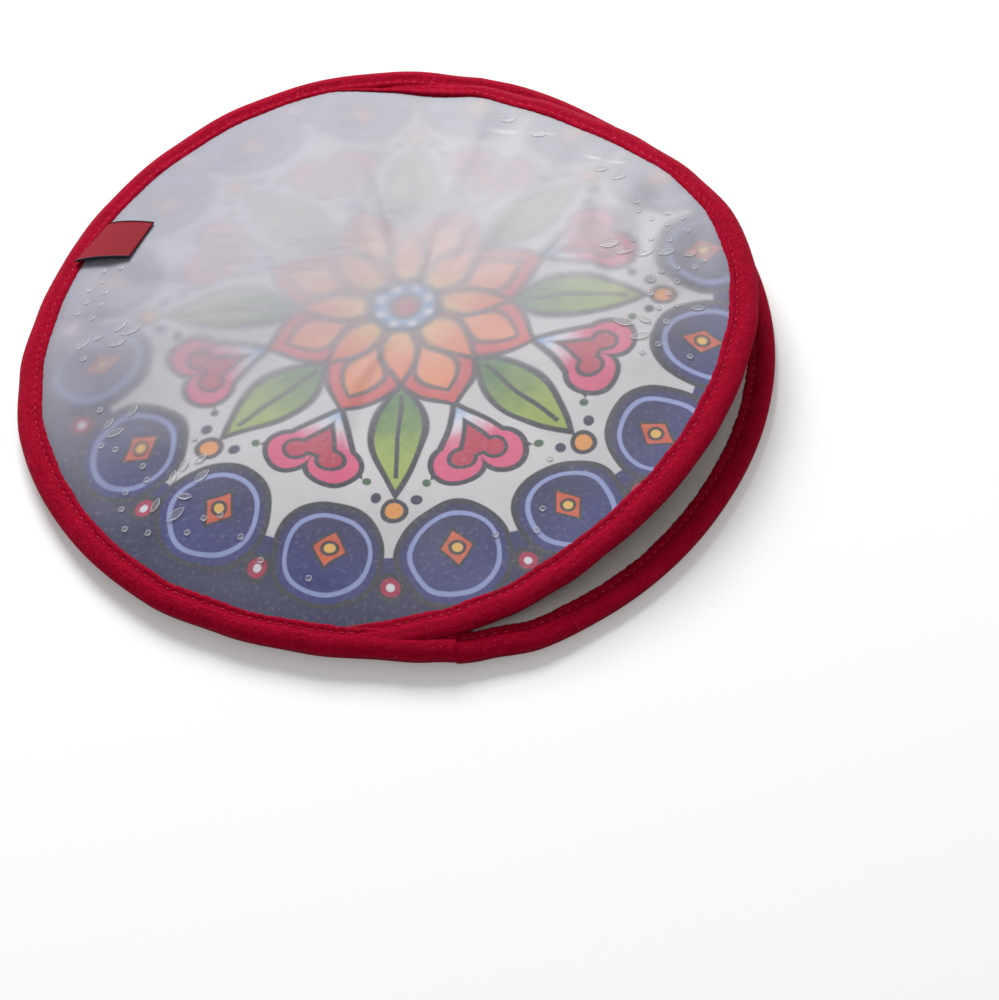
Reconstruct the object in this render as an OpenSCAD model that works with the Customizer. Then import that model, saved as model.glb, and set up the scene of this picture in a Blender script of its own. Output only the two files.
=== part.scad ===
// Round padded pouch that keeps a stack of flatbreads warm.
// Two quilted panels lie on each other. One bias-tape binding joins them round the closed side.
// Past the two seam ends each panel has a binding of its own, and the top panel's front is a flap.

/* [Outline] */
// Radius of the closed side, over its binding
pouch_r = 152.5; // [140:0.5:165]
// From the centre of the closed side to the front edge of the base panel
base_reach = 137.5; // [130:0.5:144]
// From the same centre to the front edge of the flap, laid flat
flap_reach = 131; // [124:0.5:138]
// How far in front of that centre the closed seam ends, which is where the flap folds
seam_x = 21; // [10:1:35]

/* [Layers] */
// Frosted film on the outside
film_t = 0.3; // [0.2:0.05:0.6]
// Printed fabric under the film
print_t = 0.5; // [0.3:0.05:0.8]
// Wadding where it is free
wadding_t = 2.5; // [1.5:0.1:3.5]
// Wadding where the binding presses it
pressed_t = 0.8; // [0.5:0.05:1.2]
// Lining that faces the food
lining_t = 0.4; // [0.2:0.05:0.6]

/* [Heights] */
// Top of the pouch behind the fold
crown_z = 24; // [21:0.5:30]
// Plane where the two linings meet in the closed seam
seam_z = 7; // [6:0.25:9]
// Middle of the base panel's edge at the mouth
base_edge_z = 4.5; // [4:0.25:6]
// Width of the dome from the top's flat middle to its binding
crown_slope = 83; // [60:1:90]
// Width of the slope from the flat underside to the binding
belly_slope = 35; // [20:1:50]
// Width over which the wadding swells up beside the binding
swell_w = 60; // [50:1:80]

/* [Binding] */
// Width of the folded tape
binding_w = 11.5; // [9:0.5:14]
// Tape over each face of the edge that it wraps
tape_t = 1.7; // [1.2:0.1:2.2]
// Tape between the panels' cut edge and the outside
tape_edge = 2.5; // [1.5:0.1:4]
// Rounding of the tape's corners
tape_corner_r = 1.6; // [0.8:0.1:2.2]
// From the tape's inner edge to the middle of its seam
stitch_inset = 3; // [2.2:0.1:4]
// Width of the sewing thread
thread_w = 0.8; // [0.5:0.1:1.2]
// Height of the sewing thread over the tape
thread_t = 0.4; // [0.2:0.05:0.6]

/* [Flap] */
// How far the flap is raised at rest
flap_lift = 8.5; // [5:0.5:12]
// Gap between the flap and the rest of the top panel, at the fold
fold_gap = 0.4; // [0.3:0.05:1]
// Gap between the flap's binding and the base panel's thread when the flap lies flat
mouth_gap = 0.3; // [0.3:0.1:1.5]
// Gap beside the flap's binding at the seam ends
side_gap = 0.4; // [0.3:0.1:1]

/* [Label] */
// Direction of the label from the centre, counted from the mouth
label_deg = 155; // [120:1:170]
// Width of the label along the binding
label_w = 15; // [10:0.5:20]
// How far the label stands in from the binding
label_reach = 21; // [14:0.5:26]
// One layer of the folded ribbon
ribbon_t = 0.5; // [0.3:0.05:0.7]
// Gap between the ribbon's two layers, and over the film
ribbon_gap = 0.2; // [0.1:0.05:0.4]
// Gap between the ribbon's cut ends and the binding, at the ribbon's corners
root_gap = 0.15; // [0.1:0.05:0.4]
// Angle between the label and the film, at the binding
label_rise = 1.5; // [1:0.5:5]

/* [Hidden] */
$fn = 96;
slope_steps = 12;
reach_past = 10;
edge_t = film_t + print_t + pressed_t + lining_t;
mouth_tape_t = edge_t + 2 * tape_t;
flap_edge_z = base_edge_z + mouth_tape_t + thread_t + mouth_gap;

// An arc through both seam ends and the front: its radius, and the x of its centre
seam_half_w = sqrt(pouch_r * pouch_r - seam_x * seam_x);
flap_half_w = seam_half_w - binding_w - side_gap;
function arc_r(half_w, reach) =
    (half_w * half_w + (reach - seam_x) * (reach - seam_x)) / (2 * (reach - seam_x));
base_arc_r = arc_r(seam_half_w, base_reach);
base_arc_x = base_reach - base_arc_r;
flap_arc_r = arc_r(flap_half_w, flap_reach);
flap_arc_x = flap_reach - flap_arc_r;

// The label stands off the film from its root on
label_tilt = atan(2 * (crown_z - seam_z - edge_t) / crown_slope) + label_rise;

// The origin is under the middle of the pouch's outline
centre_x = (pouch_r - base_reach) / 2;
half_space = 2 * pouch_r;

// Everything below takes d, the distance in from the outer edge of the binding.
function part_way(t) = min(1, max(0, t));
function ease(t) = (1 - cos(180 * part_way(t))) / 2;
function dome(t) = 1 - pow(1 - part_way(t), 2);
function wadding_at(d) = pressed_t + (wadding_t - pressed_t) * ease((d - binding_w) / swell_w);

// Depth of interface k under the outer skin: 0 is the skin and 4 is the lining's face
function depth(k, d) =
    (k > 0 ? film_t : 0) + (k > 1 ? print_t : 0) + (k > 2 ? wadding_at(d) : 0) + (k > 3 ? lining_t : 0);

// Height of the outer skin, from its height at the binding
function base_skin(d, rim_z) = rim_z * (1 - ease((d - binding_w) / belly_slope));
function top_skin(d, rim_z) = rim_z + (crown_z - rim_z) * dome((d - binding_w) / crown_slope);

// Distances at which a profile has its points, from the middle to the cut edge
function stations(r, slope) = concat(
    [r], [for (i = [slope_steps:-1:0]) binding_w + max(slope, swell_w) * i / slope_steps], [tape_edge]);

// One layer of the base panel, between interfaces k and k + 1, as a full disc
module base_disc(r, rim_z, k) {
    d = stations(r, belly_slope);
    n = len(d);
    under = [for (i = [0:n - 1]) [r - d[i], base_skin(d[i], rim_z) + depth(k, d[i])]];
    over = [for (i = [n - 1:-1:0]) [r - d[i], base_skin(d[i], rim_z) + depth(k + 1, d[i])]];
    rotate_extrude() polygon(concat(under, over));
}

// One layer of the top panel
module top_disc(r, rim_z, k) {
    d = stations(r, crown_slope);
    n = len(d);
    over = [for (i = [0:n - 1]) [r - d[i], top_skin(d[i], rim_z) - depth(k, d[i])]];
    under = [for (i = [n - 1:-1:0]) [r - d[i], top_skin(d[i], rim_z) - depth(k + 1, d[i])]];
    rotate_extrude() polygon(concat(over, under));
}

// Folded tape with rounded corners, open on the inside for an edge of the given thickness
module tape_ring(r, mid_z, edge) {
    t = edge + 2 * tape_t;
    c = tape_corner_r;
    rotate_extrude() translate([r - binding_w, mid_z - t / 2]) difference() {
        union() {
            translate([c, 0]) square([binding_w - 2 * c, t]);
            translate([0, c]) square([binding_w, t - 2 * c]);
            for (x = [c, binding_w - c], y = [c, t - c]) translate([x, y]) circle(c);
        }
        translate([-c, tape_t]) square([binding_w - tape_edge + c, edge]);
    }
}

// The needle thread on top of the tape and the bobbin thread under it
module thread_ring(r, mid_z, edge) {
    t = edge + 2 * tape_t;
    for (z = [mid_z + t / 2, mid_z - t / 2 - thread_t])
        rotate_extrude() translate([r - binding_w + stitch_inset - thread_w / 2, z])
            square([thread_w, thread_t]);
}

module behind_fold() {
    intersection() {
        children();
        translate([seam_x - half_space, -half_space / 2, -reach_past])
            cube([half_space, half_space, crown_z + 2 * reach_past]);
    }
}

module before_fold(gap = 0) {
    intersection() {
        children();
        translate([seam_x + gap, -half_space / 2, -reach_past])
            cube([half_space, half_space, crown_z + 2 * reach_past]);
    }
}

// The flap's pieces are cut flat and raised together about the fold, at the top of the pouch
module raised() {
    translate([seam_x, 0, crown_z]) rotate([0, -flap_lift, 0]) translate([-seam_x, 0, -crown_z])
        before_fold(fold_gap) translate([flap_arc_x, 0, 0]) children();
}

module base_layer(k) {
    behind_fold() base_disc(pouch_r, seam_z - edge_t, k);
    before_fold() translate([base_arc_x, 0, 0]) base_disc(base_arc_r, base_edge_z - edge_t / 2, k);
}

module rear_layer(k) {
    behind_fold() top_disc(pouch_r, seam_z + edge_t, k);
}

module flap_layer(k) {
    raised() top_disc(flap_arc_r, flap_edge_z + edge_t / 2, k);
}

module centred() {
    translate([centre_x, 0, 0]) children();
}

module base_film() {
    color("gainsboro") centred() base_layer(0);
}

module base_print() {
    color("slateblue") centred() base_layer(1);
}

module base_wadding() {
    color("white") centred() base_layer(2);
}

module base_lining() {
    color("whitesmoke") centred() base_layer(3);
}

module base_binding() {
    color("crimson") centred() before_fold() translate([base_arc_x, 0, 0])
        tape_ring(base_arc_r, base_edge_z, edge_t);
}

module base_thread() {
    color("firebrick") centred() before_fold() translate([base_arc_x, 0, 0])
        thread_ring(base_arc_r, base_edge_z, edge_t);
}

module rear_film() {
    color("gainsboro") centred() rear_layer(0);
}

module rear_print() {
    color("salmon") centred() rear_layer(1);
}

module rear_wadding() {
    color("white") centred() rear_layer(2);
}

module rear_lining() {
    color("whitesmoke") centred() rear_layer(3);
}

module seam_binding() {
    color("crimson") centred() behind_fold() tape_ring(pouch_r, seam_z, 2 * edge_t);
}

module seam_thread() {
    color("firebrick") centred() behind_fold() thread_ring(pouch_r, seam_z, 2 * edge_t);
}

// A ribbon folded in two, with its cut ends at the binding and its fold over the film
module label() {
    t = 2 * ribbon_t + ribbon_gap;
    inner_r = pouch_r - binding_w;
    root = sqrt(inner_r * inner_r - label_w * label_w / 4) - t * sin(label_tilt) - root_gap;
    straight = label_reach - t / 2;
    root_z = top_skin(pouch_r - root, seam_z + edge_t);
    color("indianred") centred() rotate([0, 0, label_deg]) translate([root, 0, root_z])
        rotate([0, -label_tilt, 180]) translate([0, label_w / 2, ribbon_gap]) rotate([90, 0, 0])
            linear_extrude(label_w) difference() {
                union() {
                    square([straight, t]);
                    translate([straight, t / 2]) circle(t / 2);
                }
                translate([-ribbon_gap, ribbon_t]) square([straight + ribbon_gap, ribbon_gap]);
            }
}

module flap_film() {
    color("gainsboro") centred() flap_layer(0);
}

module flap_print() {
    color("salmon") centred() flap_layer(1);
}

module flap_wadding() {
    color("white") centred() flap_layer(2);
}

module flap_lining() {
    color("whitesmoke") centred() flap_layer(3);
}

module flap_binding() {
    color("crimson") centred() raised() tape_ring(flap_arc_r, flap_edge_z, edge_t);
}

module flap_thread() {
    color("firebrick") centred() raised() thread_ring(flap_arc_r, flap_edge_z, edge_t);
}

base_film();
base_print();
base_wadding();
base_lining();
base_binding();
base_thread();
rear_film();
rear_print();
rear_wadding();
rear_lining();
seam_binding();
seam_thread();
label();
flap_film();
flap_print();
flap_wadding();
flap_lining();
flap_binding();
flap_thread();
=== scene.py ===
"""Looks of the round padded pouch: quilted panels, frosted film, bias binding, stitches and label."""
import math
import random

import bpy
import numpy as np
from mathutils import Matrix, Vector


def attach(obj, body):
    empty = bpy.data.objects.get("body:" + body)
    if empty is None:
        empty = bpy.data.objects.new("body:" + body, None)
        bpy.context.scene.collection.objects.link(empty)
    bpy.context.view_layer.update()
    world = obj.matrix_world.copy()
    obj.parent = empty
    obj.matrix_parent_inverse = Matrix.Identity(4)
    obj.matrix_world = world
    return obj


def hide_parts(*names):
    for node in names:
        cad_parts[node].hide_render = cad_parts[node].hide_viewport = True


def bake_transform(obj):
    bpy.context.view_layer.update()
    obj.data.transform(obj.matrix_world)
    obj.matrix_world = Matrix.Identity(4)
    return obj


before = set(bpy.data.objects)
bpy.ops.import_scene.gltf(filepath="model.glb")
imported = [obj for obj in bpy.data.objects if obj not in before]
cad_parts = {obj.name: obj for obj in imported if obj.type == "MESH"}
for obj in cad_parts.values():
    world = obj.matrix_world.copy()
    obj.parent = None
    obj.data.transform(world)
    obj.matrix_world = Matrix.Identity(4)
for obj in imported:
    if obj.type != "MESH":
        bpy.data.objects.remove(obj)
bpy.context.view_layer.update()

MM = 0.001
scene = bpy.context.scene

# ---- sizes, as in part.scad (mm)
POUCH_R = 152.5
BASE_REACH = 137.5
FLAP_REACH = 131.0
SEAM_X = 21.0
FILM_T, PRINT_T, PRESSED_T, LINING_T = 0.3, 0.5, 0.8, 0.4
WADDING_T = 2.5
CROWN_Z, SEAM_Z, BASE_EDGE_Z = 24.0, 7.0, 4.5
CROWN_SLOPE, BELLY_SLOPE, SWELL_W = 83.0, 35.0, 60.0
BINDING_W = 11.5
STITCH_PITCH = 4.0
FLAP_LIFT = math.radians(8.5)
SIDE_GAP, MOUTH_GAP, TAPE_T, THREAD_T = 0.4, 0.3, 1.7, 0.4
CENTRE_X = (POUCH_R - BASE_REACH) / 2
EDGE_T = FILM_T + PRINT_T + PRESSED_T + LINING_T
MOUTH_TAPE_T = EDGE_T + 2 * TAPE_T
FLAP_EDGE_Z = BASE_EDGE_Z + MOUTH_TAPE_T + THREAD_T + MOUTH_GAP
SEAM_HALF_W = math.sqrt(POUCH_R ** 2 - SEAM_X ** 2)
SEAM_DEG = math.degrees(math.atan2(SEAM_HALF_W, SEAM_X))
FLAP_HALF_W = SEAM_HALF_W - BINDING_W - SIDE_GAP

# ---- sizes of the looks alone (mm, or degrees where it says so)
LAYER_GAP = 0.06  # clearance of each layer's skins from the next layer
PANEL_INSET = 2.5  # how far the panels stop short of the tape's outer edge
CLOSED_TAPE_T, BASE_TAPE_T = 7.7, 5.8
FLAP_TAPE_T, TUCKED_TAPE_T = 6.2, 5.6
TAPE_CORE = BINDING_W / 2  # from the tape's outer edge to its middle
BEND_HALF_W = 34.0  # the flap's rise sets in over twice this
SOFT_BROAD, SOFT_FINE, TAPE_PULL = 0.5, 0.22, 0.30  # unevenness of the top panel
TOP_LOW, TOP_HIGH = 0.75, 0.40  # shares of the edge that lie over the tape's middle
BASE_RIM, BASE_RIM_MORE = 0.35, 0.4  # the same below it, and how much more on the closed side
TUCK = 26.0  # degrees in which the flap's binding slips under the closed one
PANEL_EASE = 12.0  # degrees in which the base panel rises at the near seam end
TAPE_EASE = 0.01  # degrees in which the tape steps up there
FAR_RISE, NEAR_RISE = (52.0, 40.0), (58.0, 26.0)  # start and span in degrees of the binding's rise
NEAR_SHARE = 0.55  # share of the near rise that comes before its step


# ---- small helpers
def smooth(t):
    t = np.clip(t, 0.0, 1.0)
    return t * t * (3 - 2 * t)


def polar(deg, r):
    """x and y of a point round the centre of the closed side."""
    return r * np.cos(np.radians(deg)), r * np.sin(np.radians(deg))


def value_noise(x, y, seed=0):
    """Smooth noise on a unit grid, from -1 to 1."""
    xi, yi = np.floor(x), np.floor(y)
    fx, fy = smooth(x - xi), smooth(y - yi)

    def corner(a, b):
        h = np.sin(a * 127.1 + b * 311.7 + seed * 74.7) * 43758.5453
        return 2 * (h - np.floor(h)) - 1

    low = corner(xi, yi) * (1 - fx) + corner(xi + 1, yi) * fx
    high = corner(xi, yi + 1) * (1 - fx) + corner(xi + 1, yi + 1) * fx
    return low * (1 - fy) + high * fy


def arc_of(half_w, reach):
    """Radius and centre of the mouth edge's arc through both seam ends."""
    r = (half_w ** 2 + (reach - SEAM_X) ** 2) / (2 * (reach - SEAM_X))
    return r, reach - r


def arc_radius(deg, arc):
    """Distance from the centre of the closed side to an arc round (arc[1], 0)."""
    r, cx = arc
    c, s = np.cos(np.radians(deg)), np.sin(np.radians(deg))
    return cx * c + np.sqrt(r * r - (cx * s) ** 2)


BASE_ARC = arc_of(SEAM_HALF_W, BASE_REACH)
FLAP_ARC = arc_of(FLAP_HALF_W, FLAP_REACH)


def signed(deg):
    """The angle brought to -180 to 180 degrees."""
    return (np.asarray(deg, float) + 180.0) % 360.0 - 180.0


def drift(deg, table):
    """Smooth periodic offsets given at a few angles."""
    keys = sorted(table)
    xs = np.array([keys[-1] - 360.0] + keys + [keys[0] + 360.0])
    ys = np.array([table[keys[-1]]] + [table[k] for k in keys] + [table[keys[0]]])
    a = signed(deg)
    i = np.clip(np.searchsorted(xs, a, side="right") - 1, 0, len(xs) - 2)
    t = smooth((a - xs[i]) / (xs[i + 1] - xs[i]))
    return ys[i] * (1 - t) + ys[i + 1] * t


# How far the sewn outline strays from the drawn one, and how far each tape tips outwards, by angle
LOWER_DRIFT = {-176: 0.7, -164: 2.7, -152: 2.8, -140: 2.9, -128: 1.9, -116: -1, -104: -3.1,
               -94: -4.2, -86: -2.6, -78: -0.2, -70: 2.5, -60: 1.8, -30: 0, 0: 0, 30: -1, 48: -1.4,
               60: -1.7, 72: -1.1, 84: -1.9, 96: 1.3, 108: 3, 120: 2, 134: -0.2, 148: -1.7,
               162: -2.3, 172: -1.5}
UPPER_DRIFT = {-180: 0, -120: 0, -96: 4.2, -84: 2.1, -74: 0.6, -64: -1.8, -54: -4.1, -44: -4.7,
               -34: -4.7, -24: -3.9, -12: -2.6, 0: -0.4, 12: 1.2, 24: 1.7, 36: -0.1, 48: -2.3,
               60: -3, 72: -0.8, 84: 2.6, 100: 3.7, 130: 0}
LOWER_TILT = {-180: 32, -155: 24.4, -130: 22.4, -105: 18.1, -84: 18.2, -70: 15, -40: 8, 0: 6, 40: 10,
              70: 20, 95: 20.3, 120: 21.3, 145: 29.2, 162: 32}
UPPER_TILT = {-180: 17, -120: 17, -95: 10.7, -80: 15, -65: 13, -50: 12.3, -35: 10.8, -20: 11.7,
              -5: 14, 10: 19.8, 25: 23.6, 40: 26.5, 55: 21.5, 70: 26.6, 84: 32, 100: 32, 125: 19.9}


def lower_rim(deg):
    """Outer edge of the closed binding, and of the base panel's binding at the mouth."""
    a = signed(deg)
    mouth = arc_radius(a, BASE_ARC)
    return np.where(np.abs(a) < SEAM_DEG, mouth, POUCH_R) + drift(a, LOWER_DRIFT)


def upper_rim(deg):
    """Outer edge of the flap's binding, which runs in under the closed binding past the seam ends."""
    a = signed(deg)
    flap = arc_radius(np.clip(a, -SEAM_DEG, SEAM_DEG), FLAP_ARC) + drift(a, UPPER_DRIFT)
    t = smooth((np.abs(a) - SEAM_DEG) / TUCK)
    return flap * (1 - t) + lower_rim(a) * t


def flap_share(deg):
    """1 on the flap's edge, 0 on the closed side."""
    return 1 - smooth((np.abs(signed(deg)) - SEAM_DEG + 4) / (TUCK - 4))


def closed_share(deg, ease=TAPE_EASE):
    """1 on the closed side. At the far seam end the closed binding runs on into the base panel's.
    At the near one it steps up, over ease degrees."""
    a = signed(deg)
    far = smooth((a - FAR_RISE[0]) / FAR_RISE[1])
    near = NEAR_SHARE * smooth((-a - NEAR_RISE[0]) / NEAR_RISE[1])
    near += (1 - NEAR_SHARE) * smooth((-a - SEAM_DEG) / ease + 0.5)
    return np.where(a > 0, far, near)


def lower_tilt(deg):
    return np.radians(drift(deg, LOWER_TILT))


def upper_tilt(deg):
    return np.radians(drift(deg, UPPER_TILT))


def lower_mid(deg, ease=TAPE_EASE):
    """Height of the middle of the lower tape."""
    return BASE_EDGE_Z + (SEAM_Z + 0.1 - BASE_EDGE_Z) * closed_share(deg, ease)


def lower_thick(deg):
    return BASE_TAPE_T + (CLOSED_TAPE_T - BASE_TAPE_T) * closed_share(deg)


def upper_thick(deg):
    return FLAP_TAPE_T - (FLAP_TAPE_T - TUCKED_TAPE_T) * (1 - flap_share(deg))


def lift(x):
    """Rise of the flap, bent smoothly about the line between the seam ends."""
    u, w = x - SEAM_X, BEND_HALF_W
    bend = np.where(u < -w, 0.0, np.where(u > w, u, (u + w) ** 2 / (4 * w)))
    return bend * math.tan(FLAP_LIFT)


def upper_mid(deg):
    """Height of the middle of the flap's tape, which dips in under the closed binding."""
    x, _ = polar(deg, upper_rim(deg) - TAPE_CORE)
    share = flap_share(deg)
    return (SEAM_Z + 0.6) * (1 - share) + (FLAP_EDGE_Z - 0.4) * share + lift(x)


def top_rim_z(deg):
    """Outer skin of the top panel where a tape takes it over."""
    share = flap_share(deg)
    low = lower_mid(deg) + TAPE_CORE * np.sin(lower_tilt(deg)) + EDGE_T * TOP_LOW
    x, _ = polar(deg, upper_rim(deg) - BINDING_W)
    high = upper_mid(deg) - lift(x) + TAPE_CORE * np.sin(upper_tilt(deg)) + EDGE_T * TOP_HIGH
    return low * (1 - share) + high * share


PUCKER_RINGS, PUCKER_SPOKES, PUCKER_CAP = 30, 150, 0.9
pucker_field = None  # filled by the cloth simulation


def pucker_at(deg, r):
    """Small rise or fall of the top panel that the cloth simulation found, in mm."""
    field, rings, spokes = pucker_field, PUCKER_RINGS, PUCKER_SPOKES
    if field is None:
        return 0.0 * np.asarray(r, float)
    u = np.clip(r / (upper_rim(deg) - BINDING_W), 0, 1) * rings
    v = (signed(deg) % 360.0) / 360.0 * spokes
    i, j = np.clip(u.astype(int), 0, rings - 1), v.astype(int) % spokes
    fu, fv = u - i, v - np.floor(v)
    q = (j + 1) % spokes
    low = field[i, j] * (1 - fv) + field[i, q] * fv
    high = field[i + 1, j] * (1 - fv) + field[i + 1, q] * fv
    return low * (1 - fu) + high * fu


def top_height(deg, r):
    """Outer skin of the top panel over the table."""
    d = upper_rim(deg) - r - BINDING_W
    rim = top_rim_z(deg)
    dome = 1 - (1 - np.clip(d / CROWN_SLOPE, 0, 1)) ** 2
    share = flap_share(deg)
    tuck = np.minimum(d, 0) * np.tan(lower_tilt(deg) * (1 - share) + upper_tilt(deg) * share)
    x, y = polar(deg, r)
    soft = SOFT_BROAD * value_noise(x / 42 + 3, y / 42, 1) + SOFT_FINE * value_noise(x / 17, y / 17, 2)
    pull = TAPE_PULL * value_noise(np.asarray(deg) / 4.2, d / 60, 3) * np.exp(-np.clip(d, 0, 99) / 16)
    z = rim + (CROWN_Z - rim) * dome + (soft + pull) * smooth(d / 22) + tuck
    return z + lift(x) + pucker_at(deg, r)


def base_height(deg, r):
    """Outer skin of the base panel, flat where it rests."""
    d = lower_rim(deg) - r - BINDING_W
    tilt = lower_tilt(deg)
    share = closed_share(deg, PANEL_EASE)
    rim = lower_mid(deg, PANEL_EASE) + TAPE_CORE * np.sin(tilt)
    rim = rim - EDGE_T * (BASE_RIM + BASE_RIM_MORE * share)
    return rim * np.clip(1 - d / BELLY_SLOPE, 0, 1) ** 2 + np.minimum(d, 0) * np.tan(tilt)


def wadding_at(d):
    """Thickness of the wadding at a distance in from the tape."""
    return PRESSED_T + (WADDING_T - PRESSED_T) * smooth(np.asarray(d) / SWELL_W * 1.6)


def depth_at(k, d):
    """Depth of an interface under the outer skin. The tape squeezes all the layers."""
    out = sum((FILM_T, PRINT_T, wadding_at(d), LINING_T)[:k], np.zeros_like(d))
    return out * (0.7 + 0.3 * smooth(np.asarray(d) / 6))


# ---- meshes
def new_mesh(name, verts, faces, flat=None):
    """A smooth-shaded object. flat is each vertex's place on the flat cloth, for its material."""
    mesh = bpy.data.meshes.new(name)
    mesh.from_pydata([tuple(v) for v in verts], [], faces)
    if flat is not None:
        attribute = mesh.attributes.new("flat", "FLOAT_VECTOR", "POINT")
        attribute.data.foreach_set("vector", np.asarray(flat, np.float32).ravel())
    mesh.validate()
    mesh.polygons.foreach_set("use_smooth", [True] * len(mesh.polygons))
    mesh.update()
    obj = bpy.data.objects.new(name, mesh)
    scene.collection.objects.link(obj)
    return obj


def turned(face, flip):
    """The face, facing the other way where flip is set."""
    return face[::-1] if flip else face


def cells(rows, flip):
    """Quads between neighbouring rows of vertex numbers."""
    return [turned([a[j], b[j], b[j + 1], a[j + 1]], flip)
            for a, b in zip(rows, rows[1:]) for j in range(len(a) - 1)]


def tube(first, points, sections):
    """Faces of a closed tube whose sections follow one another from the vertex first on."""
    ends = [[first + k * points + j for j in range(points)] for k in range(sections)]
    faces = [[a[j], a[(j + 1) % points], b[(j + 1) % points], b[j]]
             for a, b in zip(ends, ends[1:]) for j in range(points)]
    return faces + [ends[0][::-1], ends[-1]]


NEARLY_0 = np.array([0.01])  # a radius close to the centre
WELL_IN = np.array([90.0])  # a distance from the tape at which the wadding is full


def panel(name, rim, height, layer, down, spokes, rings):
    """One layer of a quilted panel as a closed thin solid on a polar grid, between the interfaces
    layer and layer + 1 under the outer skin. down is -1 for the top panel and 1 for the base."""
    deg = np.arange(spokes) * 360.0 / spokes
    share = np.linspace(0, 1, rings + 1)[1:] ** 0.9
    edge = rim(deg) - PANEL_INSET
    verts, flat, faces = [], [], []
    for side in (layer, layer + 1):
        rows = []
        gap = 0.0 if side == 0 else LAYER_GAP if side == layer else -LAYER_GAP
        for s in share:
            r = edge * s
            z = height(deg, r) + down * (depth_at(side, rim(deg) - r - BINDING_W) + gap)
            rows.append(np.c_[(*polar(deg, r), z)])
        z0 = np.mean([height(np.array([a]), NEARLY_0)[0] for a in (0, 90, 180, 270)])
        z0 += down * (float(depth_at(side, WELL_IN)[0]) + gap)
        block = np.concatenate([[[0, 0, z0]]] + rows)
        flat.append(np.c_[block[:, 0], block[:, 1], np.zeros(len(block))])
        verts.append(block)
    n = len(verts[0])
    for base, flip in ((0, down > 0), (n, down < 0)):
        for j in range(spokes):
            q = (j + 1) % spokes
            faces.append(turned([base, base + 1 + j, base + 1 + q], flip))
            for i in range(rings - 1):
                a, b = base + 1 + i * spokes + j, base + 1 + i * spokes + q
                faces.append(turned([a, a + spokes, b + spokes, b], flip))
    last = 1 + (rings - 1) * spokes
    for j in range(spokes):
        a, b = last + j, last + (j + 1) % spokes
        faces.append(turned([a, n + a, n + b, b], down > 0))
    v = np.concatenate(verts)
    v[:, 0] += CENTRE_X
    return new_mesh(name, v * MM, faces, np.concatenate(flat))


STITCH_IN = 3.0  # of the row of stitches from the tape's inner edge
STITCH_LEN = 2.3
GROOVE_HALF_W, GROOVE_DEPTH, GROOVE_DIP = 0.95, 0.20, 0.16  # dip: how much deeper at each stitch
LIP_W, LIP_SHARE = 4.0, 0.62  # the lip past the stitches, and its share of the tape's thickness
ROLL_AT, ROLL_HALF_W = 4.4, 4.7
TAPE_WAVES = ((11.0, 1.7), (3.1, 3.1), (37.0, 2.3))  # unevenness along a tape: span and row of the noise


def tape_section(thick, n=14):
    """Section of the folded tape: distance in from the outer edge, and height from the middle.
    A plump roll, the groove of the stitches and a thin lip."""
    a = np.linspace(0, 1, n + 1)
    x = BINDING_W * (0.02 + 0.96 * (1 - np.cos(math.pi * a)) / 2)
    roll = np.clip(1 - (np.abs(x - ROLL_AT) / ROLL_HALF_W) ** 2.3, 0, 1) ** 0.5
    lip = LIP_SHARE * np.sqrt(np.clip((BINDING_W + 0.02 - x) / 1.3, 0, 1)) * (x > 5.0)
    h = np.maximum(roll, lip) * thick / 2
    return x, h


def frames(degs, rim):
    """Points on a rim, their outward and forward directions and the running length."""
    deg = np.asarray(degs, float)

    def at(a):
        return np.c_[polar(a, rim(a))]

    p, t = at(deg), at(deg + 0.3) - at(deg - 0.3)
    t /= np.linalg.norm(t, axis=1)[:, None]
    out = np.c_[t[:, 1], -t[:, 0]]
    length = np.concatenate([[0], np.cumsum(np.linalg.norm(np.diff(p, axis=0), axis=1))])
    return p, out, t, length


def sweep(name, degs, rim, mid_z, tilt, thick, seed, shrink=None):
    """Tape along a rim, tipped so that its outer edge lies lower."""
    p, out, _, length = frames(degs, rim)
    rings, flats = [], []
    for i, deg in enumerate(degs):
        k = 1.0 if shrink is None else float(shrink(deg))
        run = length[i]
        wave, fine, slow = (float(value_noise(np.array(run / span), np.array(seed * row), seed + n))
                            for n, (span, row) in enumerate(TAPE_WAVES))
        x, h = tape_section(float(thick(deg)) * (1 + 0.05 * wave + 0.04 * slow))
        stitch = 0.5 + 0.5 * math.cos(2 * math.pi * run / STITCH_PITCH)
        groove = np.exp(-((x - (BINDING_W - STITCH_IN)) / GROOVE_HALF_W) ** 2)
        h = np.maximum(h * (1 - groove * (GROOVE_DEPTH + GROOVE_DIP * stitch)), 0.02) * k
        edge = smooth((x - (BINDING_W - LIP_W)) / LIP_W)
        x = x + edge * (0.22 * fine + 0.20 * (stitch - 0.5) + 0.30 * wave) - (1 - edge) * 0.25 * slow
        across = np.concatenate([x, x[::-1]])
        up = np.concatenate([h, -h[::-1]])
        c, s = math.cos(tilt(deg)), math.sin(tilt(deg))
        ins = (across - TAPE_CORE) * c - up * s + TAPE_CORE
        z = float(mid_z(deg)) + (across - TAPE_CORE) * s + up * c
        xy = p[i][None, :] - out[i][None, :] * ins[:, None]
        rings.append(np.c_[xy[:, 0] + CENTRE_X, xy[:, 1], z])
        under = np.arange(len(across)) >= len(x)
        flats.append(np.c_[np.full(len(across), run), across + under * 2 * BINDING_W, 0 * across])
    return new_mesh(name, np.concatenate(rings) * MM, tube(0, len(rings[0]), len(rings)),
                    np.concatenate(flats))


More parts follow.
